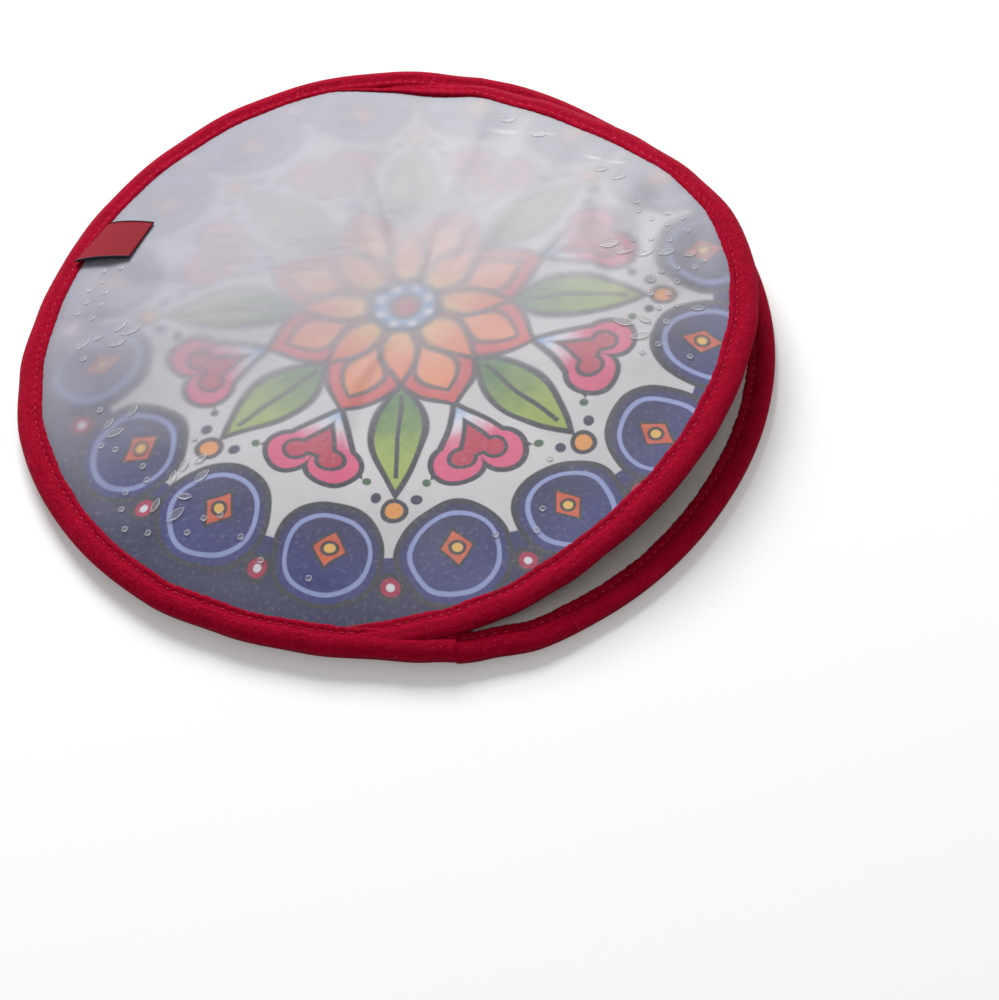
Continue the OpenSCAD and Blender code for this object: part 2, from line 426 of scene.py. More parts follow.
# sections of one stitch: place along it and size, as shares
CAPSULE = ((-0.5, 0.15), (-0.42, 0.75), (-0.2, 1.0), (0.2, 1.0), (0.42, 0.75), (0.5, 0.15))
STITCH_HALF_W, STITCH_HALF_H, STITCH_PROUD, STITCH_SINK = 0.34, 0.26, 0.10, 0.30


def stitches(name, degs, rim, mid_z, tilt, thick, shrink=None):
    """Lock stitches, as short capsules sunk in the groove on both faces of a tape."""
    p, out, tangent, length = frames(degs, rim)
    verts, faces = [], []
    due, sides, ins0 = 1.0, 8, BINDING_W - STITCH_IN
    for i, deg in enumerate(degs):
        if length[i] < due:
            continue
        due += STITCH_PITCH
        if shrink is not None and shrink(deg) < 0.9:
            continue
        c, s = math.cos(tilt(deg)), math.sin(tilt(deg))
        t, nrm = tangent[i], out[i]
        h0 = float(np.interp(ins0, *tape_section(float(thick(deg)), 60))) * 0.72
        for side in (1, -1):
            h = side * h0
            wob = 0.12 * float(value_noise(np.array(length[i] / 5.0), np.array(side * 2.0), 9))
            ins = (ins0 + wob - TAPE_CORE) * c - h * s + TAPE_CORE
            z = float(mid_z(deg)) + (ins0 - TAPE_CORE) * s + h * c
            centre = np.array([*(p[i] - nrm * ins), z])
            along = np.array([t[0], t[1], 0.0])
            outward = np.array([nrm[0] * c, nrm[1] * c, -s])
            normal = np.cross(outward, along)
            normal *= side * (1 if normal[2] > 0 else -1)
            first = len(verts)
            for f, g in CAPSULE:
                sink = STITCH_SINK * (2 * abs(f)) ** 3
                for m in range(sides):
                    b = 2 * math.pi * m / sides
                    v = centre + along * STITCH_LEN * f + outward * STITCH_HALF_W * g * math.cos(b)
                    v += normal * (STITCH_HALF_H * g * math.sin(b) + STITCH_PROUD - sink)
                    verts.append([v[0] + CENTRE_X, v[1], v[2]])
            faces += tube(first, sides, len(CAPSULE))
    return new_mesh(name, np.array(verts) * MM, faces)


# ---- cloth simulation of the top panel
SIM_FRAMES = 20
EDGE_HOLD = 0.35  # how firmly the ring next to the tape is held
BROAD_PASSES, SMOOTH_PASSES = 60, 2
FADE_FROM, FADE_W, INNER = 0.93, 0.07, 0.25  # the buckles fade out at the tape and the centre


def simulate_puckers():
    """Blows up the top panel's skin a little, held at the tape, and gives back how it buckles."""
    rings, spokes = PUCKER_RINGS, PUCKER_SPOKES
    deg = np.arange(spokes) * 360.0 / spokes
    edge = upper_rim(deg) - BINDING_W
    rows = [[[0.0, 0.0, float(top_height(np.array([0.0]), NEARLY_0)[0])]]]
    for i in range(1, rings + 1):
        r = edge * i / rings
        rows.append(np.c_[(*polar(deg, r), top_height(deg, r))])
    verts = np.concatenate(rows) * MM
    faces = [[0, 1 + j, 1 + (j + 1) % spokes] for j in range(spokes)]
    for i in range(rings - 1):
        a = 1 + i * spokes
        faces += [[a + j, a + spokes + j, a + spokes + (j + 1) % spokes, a + (j + 1) % spokes]
                  for j in range(spokes)]
    obj = new_mesh("simulated_skin", verts, faces)
    pin = obj.vertex_groups.new(name="held")
    for i, hold in ((rings - 1, EDGE_HOLD), (rings, 1.0)):
        pin.add([1 + (i - 1) * spokes + j for j in range(spokes)], hold, "REPLACE")
    cloth = obj.modifiers.new("cloth", "CLOTH")
    for key, value in (("quality", 6), ("mass", 0.25), ("tension_stiffness", 12),
                       ("compression_stiffness", 12), ("shear_stiffness", 6),
                       ("bending_stiffness", 0.08), ("shrink_min", -0.018), ("use_pressure", True),
                       ("uniform_pressure_force", 4.0), ("vertex_group_mass", "held")):
        setattr(cloth.settings, key, value)
    cloth.settings.effector_weights.gravity = 0.0
    cloth.collision_settings.use_collision = False
    cloth.collision_settings.use_self_collision = False
    cloth.point_cache.frame_start, cloth.point_cache.frame_end = 1, SIM_FRAMES
    for f in range(1, SIM_FRAMES + 1):
        scene.frame_set(f)
    moved = obj.evaluated_get(bpy.context.evaluated_depsgraph_get()).to_mesh()
    z = np.array([v.co.z for v in moved.vertices]) / MM - verts[:, 2] / MM
    scene.frame_set(1)
    bpy.data.objects.remove(obj, do_unlink=True)
    field = np.concatenate([np.full((1, spokes), z[0]), z[1:].reshape(rings, spokes)])
    # only the buckles are kept, and not the rise as a whole
    broad = field.copy()
    for _ in range(BROAD_PASSES):
        broad = (np.roll(broad, 1, 1) + np.roll(broad, -1, 1) + broad) / 3
        broad[1:-1] = (broad[:-2] + broad[2:] + broad[1:-1]) / 3
    buckle = field - broad
    for _ in range(SMOOTH_PASSES):
        buckle = (np.roll(buckle, 1, 1) + np.roll(buckle, -1, 1) + 2 * buckle) / 4
    out = np.arange(rings + 1) / rings
    fade = 1 - np.clip((out - FADE_FROM) / FADE_W, 0, 1)
    buckle *= (fade * np.clip(out / INNER, 0, 1))[:, None]
    return np.clip(buckle, -PUCKER_CAP, PUCKER_CAP)


pucker_field = simulate_puckers()


# ---- node helper
def rgba(value):
    """A colour of three numbers gets its alpha. All else stays."""
    return (*value, 1.0) if isinstance(value, tuple) and len(value) == 3 else value


class Nodes:
    """Builds a material, or the world, from arithmetic on sockets."""

    def __init__(self, name, kind="Material"):
        self.owner = (bpy.data.worlds if kind == "World" else bpy.data.materials).new(name)
        self.owner.use_nodes = True
        self.tree = self.owner.node_tree
        self.tree.nodes.clear()
        self.out = self.new("ShaderNodeOutput" + kind)

    def new(self, kind, **values):
        node = self.tree.nodes.new(kind)
        for k, v in values.items():
            setattr(node, k, v)
        return node

    def put(self, value, socket):
        if isinstance(value, bpy.types.NodeSocket):
            self.tree.links.new(value, socket)
        else:
            socket.default_value = value

    def m(self, op, *values):
        node = self.new("ShaderNodeMath", operation=op)
        for value, socket in zip(values, node.inputs):
            self.put(value, socket)
        return node.outputs[0]

    def add(self, a, b): return self.m("ADD", a, b)
    def sub(self, a, b): return self.m("SUBTRACT", a, b)
    def mul(self, a, b): return self.m("MULTIPLY", a, b)
    def div(self, a, b): return self.m("DIVIDE", a, b)
    def mx(self, a, b): return self.m("MAXIMUM", a, b)
    def mn(self, a, b): return self.m("MINIMUM", a, b)
    def ab(self, a): return self.m("ABSOLUTE", a)
    def mad(self, a, b, c): return self.m("MULTIPLY_ADD", a, b, c)

    def hyp(self, a, b):
        return self.m("SQRT", self.add(self.mul(a, a), self.mul(b, b)))

    def sine(self, v, pitch):
        return self.m("SINE", self.mul(v, 2 * math.pi / pitch))

    def ramp(self, v, low, high, a=0.0, b=1.0):
        """Smooth step from a, where v is low, to b, where v is high."""
        node = self.new("ShaderNodeMapRange", interpolation_type="SMOOTHSTEP")
        for value, socket in zip((v, low, high, a, b), node.inputs):
            self.put(value, socket)
        return node.outputs[0]

    def mix(self, f, a, b):
        node = self.new("ShaderNodeMix", data_type="RGBA")
        for value, i in ((f, 0), (a, 6), (b, 7)):
            self.put(rgba(value), node.inputs[i])
        return node.outputs[2]

    def split(self, vector):
        node = self.new("ShaderNodeSeparateXYZ")
        self.put(vector, node.inputs[0])
        return tuple(node.outputs)

    def flat(self):
        """The place on the flat cloth in mm: the vector, then its three parts."""
        vector = self.new("ShaderNodeAttribute", attribute_name="flat").outputs["Vector"]
        return (vector, *self.split(vector))

    def noise(self, vector, scale, detail=2.0, rough=0.5, output=0):
        node = self.new("ShaderNodeTexNoise")
        for key, value in (("Vector", vector), ("Scale", scale), ("Detail", detail), ("Roughness", rough)):
            self.put(value, node.inputs[key])
        return node.outputs[output]

    def scaled(self, vector, scale):
        node = self.new("ShaderNodeVectorMath", operation="MULTIPLY")
        self.put(vector, node.inputs[0])
        self.put(scale, node.inputs[1])
        return node.outputs[0]

    def bump(self, height, distance, strength=1.0, normal=None):
        node = self.new("ShaderNodeBump")
        for key, value in (("Strength", strength), ("Distance", distance), ("Height", height)):
            self.put(value, node.inputs[key])
        if normal is not None:
            self.put(normal, node.inputs["Normal"])
        return node.outputs[0]

    def surface(self, **values):
        node = self.new("ShaderNodeBsdfPrincipled")
        for key, value in values.items():
            self.put(rgba(value), node.inputs[key.replace("_", " ")])
        self.put(node.outputs[0], self.out.inputs[0])
        return self.owner

    def backdrop_rays(self):
        """1 for rays that show the backdrop: the camera's own, in a gloss and through the film."""
        path = self.new("ShaderNodeLightPath").outputs
        seen = self.add(self.add(path["Is Camera Ray"], path["Is Glossy Ray"]), path["Is Transmission Ray"])
        return self.mn(seen, 1.0)


def lin(r, g, b):
    """sRGB bytes to linear."""
    return tuple((c / 255 / 12.92) if c <= 10 else (((c / 255) + 0.055) / 1.055) ** 2.4 for c in (r, g, b))


# ---- materials
SWAY = 7.0  # how far the hand-drawn lines stray


def film_gap_and_lit_haze(n, x, y):
    """0 where the film lies on the print, 1 where it stands well off it, by place on the panel in mm. In the
    film's veil it also stands for painted light: the haze is painted whiter towards the far and rear side,
    where the key lamp falls.
    """
    slant = n.add(n.add(n.mul(x, -0.0018), n.mul(y, 0.0065)), 0.50)
    return n.ramp(slant, 0.0, 1.0)


def print_material():
    """A generic folk-tile star. Its places, radii and widths are in mm on the flat cloth."""
    n = Nodes("printed_cloth")
    vec, x0, y0, _ = n.flat()
    blur = n.mad(film_gap_and_lit_haze(n, x0, y0), 2.5, 0.35)  # the film blurs what it stands off
    sway_x, sway_y, _ = n.split(n.noise(vec, 0.03, 1.0, output=1))
    x = n.add(n.add(x0, 4.0), n.mad(sway_x, SWAY, -SWAY / 2))
    y = n.add(n.sub(y0, 8.0), n.mad(sway_y, SWAY, -SWAY / 2))
    r = n.hyp(x, y)
    phi = n.m("ARCTAN2", y, x)
    brush = n.noise(vec, 0.14, 3.0, 0.6)
    fine = n.noise(vec, 0.5, 2.0, 0.6)

    ground, charcoal = lin(216, 213, 212), lin(38, 40, 52)
    coral, red, orange, yellow = lin(196, 44, 52), lin(176, 22, 50), lin(232, 120, 48), lin(238, 190, 92)
    green, lime = lin(70, 122, 62), lin(158, 178, 84)
    cobalt, indigo, sky, white = lin(38, 46, 118), lin(24, 26, 74), lin(112, 170, 220), lin(226, 228, 236)
    pink, magenta = lin(222, 84, 128), lin(176, 30, 84)

    def tone(a, b, f):
        return n.mix(f, a, b)

    def sector(count, turn):
        """Place along and across the nearest of several equal spokes."""
        step = 2 * math.pi / count
        a = n.m("FLOORED_MODULO", n.add(phi, math.pi * 4 + step / 2 - turn), step)
        a = n.sub(a, step / 2)
        return n.mul(r, n.m("COSINE", a)), n.ab(n.mul(r, n.m("SINE", a)))

    def inside(f):
        return n.sub(1.0, n.ramp(f, n.mul(blur, -1.0), blur))

    def outline(col, f, w=1.0, ink=charcoal):
        soft = n.mul(blur, 1.25)
        mask = n.sub(1.0, n.ramp(n.sub(n.ab(f), w), n.mul(soft, -0.5), soft))
        weak = n.div(w * 2 + 0.6, n.add(blur, w * 2 + 0.1))
        return n.mix(n.mul(mask, n.mn(weak, 1.0)), col, ink)

    def paint(col, f, fill, ink=charcoal, w=1.0):
        return outline(n.mix(inside(f), col, fill), f, w, ink)

    def leaf(qx, qy, start, end, w, sharp, lean):
        """Pointed lens along a spoke, and the share of its length at each point."""
        t = n.div(n.sub(qx, start), end - start)
        u = n.mad(t, 2.0, -1.0)
        prof = n.sub(1.0, n.m("POWER", n.ab(u), 2.0 * sharp))
        prof = n.mul(prof, n.mx(n.mad(u, lean, 1.0), 0.2))
        return n.mul(n.sub(qy, n.mul(prof, w)), 0.86), t

    def disc(qx, qy, cx, cy, radius):
        return n.sub(n.hyp(n.sub(qx, cx), n.sub(qy, cy)), radius)

    on8x, on8y = sector(8, 0.0)
    off8x, off8y = sector(8, math.pi / 8)
    on16x, on16y = sector(16, math.pi / 16)
    colour = n.mix(n.mul(brush, 0.4), ground, lin(186, 188, 200))

    # deep blue border with scallops, rings and lozenges
    edge = n.sub(118.0, r)
    deep = n.ramp(n.add(r, n.mul(fine, 14.0)), 118, 140)
    colour = n.mix(inside(edge), colour, tone(cobalt, indigo, deep))
    scallop = disc(on16x, on16y, 119.0, 0.0, 20.5)
    deep = n.ramp(n.add(r, n.mul(brush, 16.0)), 104, 142)
    colour = paint(colour, scallop, tone(indigo, cobalt, deep))
    colour = outline(colour, n.add(scallop, 4.6), 0.8, lin(150, 164, 214))
    lozenge = n.sub(n.add(n.ab(n.sub(on16x, 117.0)), n.mul(on16y, 1.3)), 8.0)
    colour = paint(colour, lozenge, tone(orange, coral, brush), w=0.8)
    colour = paint(colour, disc(on16x, on16y, 117.0, 0.0, 2.5), yellow, w=0.5)
    between = disc(*sector(16, 0.0), 130.0, 0.0, 4.6)
    colour = paint(colour, between, tone(red, magenta, brush), w=0.8)
    colour = n.mix(inside(n.add(between, 3.0)), colour, white)

    # hearts: blue at the point, pink at the lobes
    lobe = disc(off8x, off8y, 82.0, 8.6, 9.6)
    body = n.mx(n.mul(n.sub(off8y, n.mul(n.sub(off8x, 55.0), 0.66)), 0.83), n.sub(off8x, 83.0))
    heart = n.mn(lobe, body)
    far = n.add(off8x, n.mul(brush, 9.0))
    shade = tone(tone(sky, white, n.ramp(far, 60, 70)), pink, n.ramp(far, 66, 80))
    colour = paint(colour, heart, shade)
    inner = n.mn(disc(off8x, off8y, 80.0, 6.4, 4.6),
                 n.mx(n.mul(n.sub(off8y, n.mul(n.sub(off8x, 64.0), 0.50)), 0.87), n.sub(off8x, 80.6)))
    colour = paint(colour, inner, tone(magenta, coral, brush), w=0.7)

    # leaves with a dark rib between the hearts
    f, t = leaf(on8x, on8y, 40.0, 92.0, 10.5, 0.95, -0.25)
    colour = paint(colour, f, tone(green, lime, n.ramp(n.add(t, n.mul(brush, 0.5)), 0.3, 1.05)))
    rib = n.mx(n.sub(on8y, 0.2), n.mx(n.sub(on8x, 84.0), n.sub(46.0, on8x)))
    colour = outline(colour, rib, 0.6)
    # a bud and two dots over each leaf
    bud = disc(on8x, on8y, 98.5, 0.0, 4.2)
    colour = paint(colour, bud, tone(orange, yellow, brush), w=0.8)
    colour = n.mix(inside(disc(on8x, on8y, 93.5, 7.6, 2.1)), colour, tone(indigo, charcoal, brush))
    colour = n.mix(inside(disc(on8x, on8y, 86.5, 11.6, 1.7)), colour, tone(green, charcoal, brush))

    # star of two rings of pointed petals
    f, _ = leaf(off8x, off8y, 12.0, 56.0, 15.5, 0.72, 0.3)
    colour = paint(colour, f, tone(coral, lin(222, 84, 72), brush), w=1.1)
    f, _ = leaf(off8x, off8y, 22.0, 48.5, 8.0, 0.8, 0.2)
    colour = paint(colour, f, tone(orange, lin(240, 158, 96), brush), w=0.8)
    f, t = leaf(on8x, on8y, 8.0, 40.0, 7.4, 0.85, -0.1)
    colour = paint(colour, f, tone(yellow, orange, n.ramp(n.add(t, n.mul(brush, 0.5)), 0.3, 1.0)))
    colour = paint(colour, n.sub(r, 13.0), tone(sky, cobalt, n.ramp(r, 7, 13)))
    colour = n.mix(inside(disc(off8x, off8y, 9.4, 0.0, 1.5)), colour, white)
    colour = paint(colour, n.sub(r, 5.4), tone(coral, magenta, brush), w=0.8)

    # brush streaks, a little bleeding, and the grain of the cloth
    colour = n.mix(n.mul(n.ramp(fine, 0.5, 0.85), 0.14), colour, white)
    weave = n.noise(vec, 2.2, 3.0, 0.7)
    colour = n.mix(n.mul(weave, 0.10), colour, charcoal)
    return n.surface(Base_Color=colour, Roughness=0.82, Normal=n.bump(weave, 0.0002, 0.4))


# faint creases of the film, each a bump with a painted highlight along it: both ends and the half width, in
# mm
FILM_CREASES = ((22, 109, 40, 105, 2.4), (38, 105, 54, 104, 2.0), (62, 90, 72, 85, 1.8),
                (70, 85, 82, 83, 1.6))


def film_material():
    n = Nodes("frosted_film")
    vec, x, y, _ = n.flat()
    gap = film_gap_and_lit_haze(n, x, y)
    cloud = n.noise(vec, 0.018, 3.0, 0.55)
    # painted light in part: the veil thickens where the film stands off, and it is painted whiter towards the
    # far and rear side, where the light falls
    alpha = n.mad(gap, 0.43, 0.07)
    alpha = n.add(alpha, n.mad(cloud, 0.10, -0.05))
    alpha = n.mx(n.mn(alpha, 0.9), 0.05)
    grain = n.noise(vec, 2.6, 3.0, 0.6)
    ripple = n.noise(n.scaled(vec, (0.02, 0.055, 0.02)), 1.0, 3.0, 0.55)
    crease_and_glint = 0.0
    for ax, ay, bx, by, wide in FILM_CREASES:
        span = math.hypot(bx - ax, by - ay)
        ux, uy = (bx - ax) / span, (by - ay) / span
        qx, qy = n.sub(x, ax), n.sub(y, ay)
        along = n.mn(n.mx(n.add(n.mul(qx, ux), n.mul(qy, uy)), 0.0), span)
        away = n.hyp(n.sub(qx, n.mul(along, ux)), n.sub(qy, n.mul(along, uy)))
        taper = n.ramp(n.ab(n.sub(along, span / 2)), span / 2, 0.0)
        crease_and_glint = n.mx(crease_and_glint, n.mul(n.ramp(away, wide, 0.0), taper))
    rough = n.mad(grain, 0.14, 0.34)
    normal = n.bump(grain, 0.00010, 0.35)
    normal = n.bump(ripple, 0.004, 0.35, normal)
    normal = n.bump(crease_and_glint, 0.00015, 0.4, normal)
    # painted shade: the film's colour turns darker towards the left, rear side of the panel
    left_shade = n.ramp(x, 30.0, -110.0)
    colour = n.mix(cloud, lin(198, 197, 205), lin(210, 208, 213))
    colour = n.mix(n.mul(left_shade, 0.8), colour, lin(177, 176, 188))
    # painted highlight: along the creases the film's colour is lightened and its alpha raised, besides their
    # bump
    colour = n.mix(n.mul(crease_and_glint, 0.35), colour, lin(240, 241, 244))
    alpha = n.mn(n.mad(crease_and_glint, 0.12, alpha), 0.9)
    return n.surface(Base_Color=colour, Roughness=rough, Alpha=alpha, Normal=normal, Specular_IOR_Level=0.25)


def vent_material():
    """Clear lips, painted near white as their highlight. The third flat value is 1 on the film between them,
    which hardly shows.
    """
    n = Nodes("vent_lip")
    vec, _, _, inside = n.flat()
    grain = n.noise(vec, 1.2, 2.0)
    lip = n.mad(grain, 0.4, 0.50)
    # painted highlight: the lips' colour is near white and fairly opaque
    return n.surface(Base_Color=n.mix(grain, lin(222, 224, 232), lin(252, 252, 254)),
                     Alpha=n.add(n.mul(lip, n.sub(1.0, inside)), n.mul(inside, 0.07)),
                     Roughness=0.22, Specular_IOR_Level=0.6)


def tape_material():
    n = Nodes("bias_tape")
    vec, u, v, _ = n.flat()
    big = n.noise(n.scaled(vec, (0.10, 0.25, 0.1)), 1.0, 3.0, 0.6)
    # fine diagonal twill, since the tape is cut on the bias
    a, b = n.sine(n.add(u, v), 0.62), n.sine(n.sub(u, v), 0.85)
    weave = n.mad(n.mul(a, n.mad(b, 0.4, 0.6)), 0.5, 0.5)
    fuzz = n.noise(vec, 3.2, 4.0, 0.7)
    colour = n.mix(big, (0.26, 0.0, 0.010), (0.56, 0.001, 0.034))
    colour = n.mix(n.mul(weave, 0.22), colour, lin(70, 0, 10))
    speck = n.ramp(n.noise(n.scaled(vec, (0.75, 1.25, 1.0)), 1.0, 4.0, 0.8), 0.56, 0.63)
    colour = n.mix(n.mul(speck, 0.45), colour, lin(238, 50, 104))
    pit = n.ramp(n.noise(n.scaled(vec, (0.6, 1.1, 1.0)), 1.3, 3.0, 0.8), 0.46, 0.38)
    colour = n.mix(n.mul(pit, 0.35), colour, lin(84, 0, 14))
    height = n.add(n.mul(weave, 0.7), n.mul(fuzz, 0.9))
    crumple = n.noise(n.scaled(vec, (0.30, 0.45, 0.3)), 1.0, 3.0, 0.6)
    normal = n.bump(height, 0.0004, 0.7, n.bump(crumple, 0.003, 0.35))
    return n.surface(Base_Color=colour, Roughness=0.55, Normal=normal, Sheen_Weight=0.005,
                     Sheen_Roughness=0.4, Sheen_Tint=lin(255, 60, 110), Specular_IOR_Level=0.03)


def thread_material():
    n = Nodes("sewing_thread")
    coord = n.new("ShaderNodeTexCoord").outputs["Object"]
    twist = n.new("ShaderNodeTexWave", wave_type="BANDS", bands_direction="DIAGONAL")
    n.put(coord, twist.inputs["Vector"])
    n.put(900.0, twist.inputs["Scale"])
    patch = n.noise(coord, 180.0, 2.0)
    colour = n.mix(patch, lin(156, 4, 32), lin(214, 48, 84))
    return n.surface(Base_Color=colour, Roughness=0.5, Normal=n.bump(twist.outputs[1], 0.00008, 0.6),
                     Sheen_Weight=0.03, Specular_IOR_Level=0.12)


def lining_material():
    n = Nodes("lining_cloth")
    vec, x, y, _ = n.flat()
    weave = n.mad(n.mul(n.sine(x, 0.5), n.sine(y, 0.5)), 0.5, 0.5)
    soft = n.noise(vec, 0.05, 3.0, 0.6)
    colour = n.mix(soft, lin(214, 212, 206), lin(232, 231, 227))
    colour = n.mix(n.mul(weave, 0.08), colour, lin(150, 148, 142))
    normal = n.bump(weave, 0.00012, 0.4)
    normal = n.bump(soft, 0.003, 0.4, normal)
    return n.surface(Base_Color=colour, Roughness=0.8, Normal=normal, Sheen_Weight=0.15)


def wadding_material():
    n = Nodes("needled_wadding")
    vec, *_ = n.flat()
    f = n.noise(vec, 1.6, 5.0, 0.75)
    colour = n.mix(f, lin(222, 221, 216), lin(244, 244, 240))
    return n.surface(Base_Color=colour, Roughness=0.95, Normal=n.bump(f, 0.0006, 0.6))


def label_material():
    """Brick red with a dark edge. The third flat value is 1 on the ribbon's underside, which is painted dark
    as its shade.
    """
    n = Nodes("label_ribbon")
    vec, u, v, w = n.flat()
    weave = n.mad(n.mul(n.sine(u, 0.42), n.sine(v, 0.6)), 0.5, 0.5)
    edge = n.ramp(n.ab(v), RIBBON_W / 2 - 0.75, RIBBON_W / 2 - 0.35)
    under = n.ramp(w, 0.4, 0.6)
    body = n.mix(n.noise(vec, 0.9, 3.0), lin(128, 14, 30), lin(154, 30, 44))
    # the dark border's colour, also used as painted shade on the underside
    dark_border_and_shade = lin(34, 26, 44)
    colour = n.mix(edge, body, dark_border_and_shade)
    # painted shade: the underside, the lower leg and the lower half of the fold, gets the dark colour
    colour = n.mix(under, colour, dark_border_and_shade)
    colour = n.mix(n.mul(weave, 0.2), colour, lin(60, 12, 16))
    return n.surface(Base_Color=colour, Roughness=0.6, Normal=n.bump(weave, 0.0001, 0.5), Sheen_Weight=0.02,
                     Specular_IOR_Level=0.08)


# ---- pieces
def dress(obj, mat, nodes, bend=False):
    """Gives a piece its material and hides the solids that it replaces. With bend set, its transform is baked
    into its mesh; else it rides on the pouch.
    """
    obj.data.materials.append(mat)
    if nodes:
        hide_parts(*nodes)
    if bend:
        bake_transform(obj)
    else:
        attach(obj, "pouch")
    return obj


tape = tape_material()
thread = thread_material()
film_mat = film_material()
print_mat = print_material()
lining_mat = lining_material()
wadding_mat = wadding_material()

# both panels: the layers' names, materials and slots, and the base panel's piece names
LAYERS = (("film", film_mat, "film", "base_film_sheet"),
          ("print", print_mat, "printed_fabric", "base_print_cloth"),
          ("wadding", wadding_mat, "wadding", "base_wadding_pad"),
          ("lining", lining_mat, "lining", "base_lining_cloth"))
TOP_GRIDS = ((480, 90), (240, 56), (180, 40), (240, 56))  # spokes and rings
BASE_GRIDS = ((240, 50), (240, 50), (180, 40), (240, 50))
top, base = [], []
for i, (layer, mat, slot, _) in enumerate(LAYERS):
    piece = panel("top_" + layer, upper_rim, top_height, i, -1, *TOP_GRIDS[i])
    top.append(dress(piece, mat, ["rear_" + layer, "flap_" + layer], bend=True))
for i, (layer, mat, slot, name) in enumerate(LAYERS):
    piece = panel(name, lower_rim, base_height, i, 1, *BASE_GRIDS[i])
    base.append(dress(piece, mat, ["base_" + layer]))


# bindings and their stitches
def upper_shrink(deg):
    """The flap's tape gets flatter where it slips under the closed one."""
    return 1 - 0.45 * smooth((np.abs(signed(deg)) - SEAM_DEG - 4) / 16)


LOWER = (lower_rim, lower_mid, lower_tilt, lower_thick)
UPPER = (upper_rim, upper_mid, upper_tilt, upper_thick)
closed = sweep("closed_binding", np.linspace(SEAM_DEG, 360 - SEAM_DEG, 640), *LOWER, 5)
mouth = sweep("base_mouth_binding", np.linspace(-SEAM_DEG - 0.25, SEAM_DEG + 0.05, 480), *LOWER, 5)
flap = sweep("flap_edge_binding", np.linspace(-SEAM_DEG - TUCK + 4, SEAM_DEG + TUCK - 4, 560), *UPPER, 17,
             upper_shrink)
dress(closed, tape, ["seam_binding"])
dress(mouth, tape, ["base_binding"])
dress(flap, tape, ["flap_binding"], bend=True)

FINE = 6000  # steps in which a row of stitches is measured out
for name, first, last, shape, shrink, node in (
        ("closed_stitches", SEAM_DEG + 1, 359 - SEAM_DEG, LOWER, None, "seam_thread"),
        ("base_stitches", -SEAM_DEG + 1, SEAM_DEG - 1, LOWER, None, "base_thread"),
        ("flap_stitches", -SEAM_DEG - 8, SEAM_DEG + 8, UPPER, upper_shrink, "flap_thread")):
    row = stitches(name, np.linspace(first, last, FINE), *shape, shrink)
    dress(row, thread, [node], bend=node == "flap_thread")


# label: a bare folded ribbon that leaves the seam at a slant and curls up a little at its fold
LABEL_CORNERS = ((-135.8, 44.1), (-124.3, 64.5), (-114.2, 41.8), (-105.9, 60.4))  # root pair, end pair
LABEL_AT = 156.0  # degrees
ROOT_UP, TIP_UP, CLEAR = 1.9, 0.4, 0.35  # the root over the tape, and the end and the rest over the film
RIBBON_T, RIBBON_GAP, RIBBON_W, RIBBON_REACH = 0.4, 0.15, 17.5, 21.0  # the last two as laid flat


def label_point(u, v):
    """u runs from the root to the fold and v across, both from 0 to 1."""
    (ax, ay), (bx, by), (cx, cy), (dx, dy) = LABEL_CORNERS
    root = np.array([ax + (bx - ax) * v, ay + (by - ay) * v])
    tip = np.array([cx + (dx - cx) * v, cy + (dy - cy) * v])
    return root + (tip - root) * u


def make_label():
    t, gap = RIBBON_T, RIBBON_GAP
    steps, cols, turns = 26, 14, 6

    def ground(x, y):
        return float(top_height(np.array(math.degrees(math.atan2(y, x))), np.array(math.hypot(x, y))))

    root_z = float(lower_mid(LABEL_AT)) + TAPE_CORE * math.sin(float(lower_tilt(LABEL_AT))) + ROOT_UP
    tip_z = max(ground(*label_point(1.0, v)) for v in (0.0, 0.5, 1.0)) + TIP_UP

    def base_z(u, v):
        """A shallow arch from the tape to the fold, whose end droops a little."""
        arch = math.sin(math.pi * u ** 0.8)
        curl = 0.30 * (2 * v - 1) ** 2 * u * (1 - u)
        z = root_z + (tip_z - root_z) * u + arch + curl
        return max(z, ground(*label_point(u, v)) + CLEAR if u > 0.15 else z)

    # the four skins from the top down: 1 on the lower leg, which is painted dark as shade, and the height
    verts, flat, faces, grid = [], [], [], []
    for under, h in ((0, t + gap + t), (0, t + gap), (1, t), (1, 0.0)):
        rows = []
        for i in range(steps + 1):
            rows.append(range(len(verts), len(verts) + cols + 1))
            for j in range(cols + 1):
                u, v = i / steps, j / cols
                x, y = label_point(u, v)
                verts.append([x + CENTRE_X, y, base_z(u, v) + h])
                flat.append([RIBBON_REACH * u, RIBBON_W * (v - 0.5), float(under)])
        grid.append(rows)
        faces += cells(rows, len(grid) in (1, 3))
    # the fold joins the outermost and the innermost skins round the end
    rings = []
    for high, low, rad in ((grid[0][-1], grid[3][-1], t + gap / 2), (grid[1][-1], grid[2][-1], gap / 2)):
        ring = [high]
        for k in range(1, turns):
            ring.append(range(len(verts), len(verts) + cols + 1))
            for j in range(cols + 1):
                hi, lo = np.array(verts[high[j]]), np.array(verts[low[j]])
                along = label_point(1, j / cols) - label_point(0.9, j / cols)
                along /= np.linalg.norm(along)
                p = (hi + lo) / 2 + (hi - lo) / 2 * math.cos(math.pi * k / turns)
                p[:2] += along * rad * math.sin(math.pi * k / turns)
                verts.append(list(p))
                # the fold's lower half counts as underside and is painted dark as shade
                flat.append([RIBBON_REACH, RIBBON_W * (j / cols - 0.5), float(k >= turns / 2)])
        rings.append(ring + [low])
        faces += cells(rings[-1], len(rings) == 1)
    # long edges, the fold's two ends and the root
    for j, flip in ((0, False), (cols, True)):
        for skins in (grid[:2], grid[2:], rings):
            faces += cells([[row[j] for row in rows] for rows in skins], flip)
    for a, b in (grid[:2], grid[2:]):
        for j in range(cols):
            faces.append([a[0][j], a[0][j + 1], b[0][j + 1], b[0][j]])
    return new_mesh("label_ribbon", np.array(verts) * MM, faces, flat)


dress(make_label(), label_material(), ["label"])


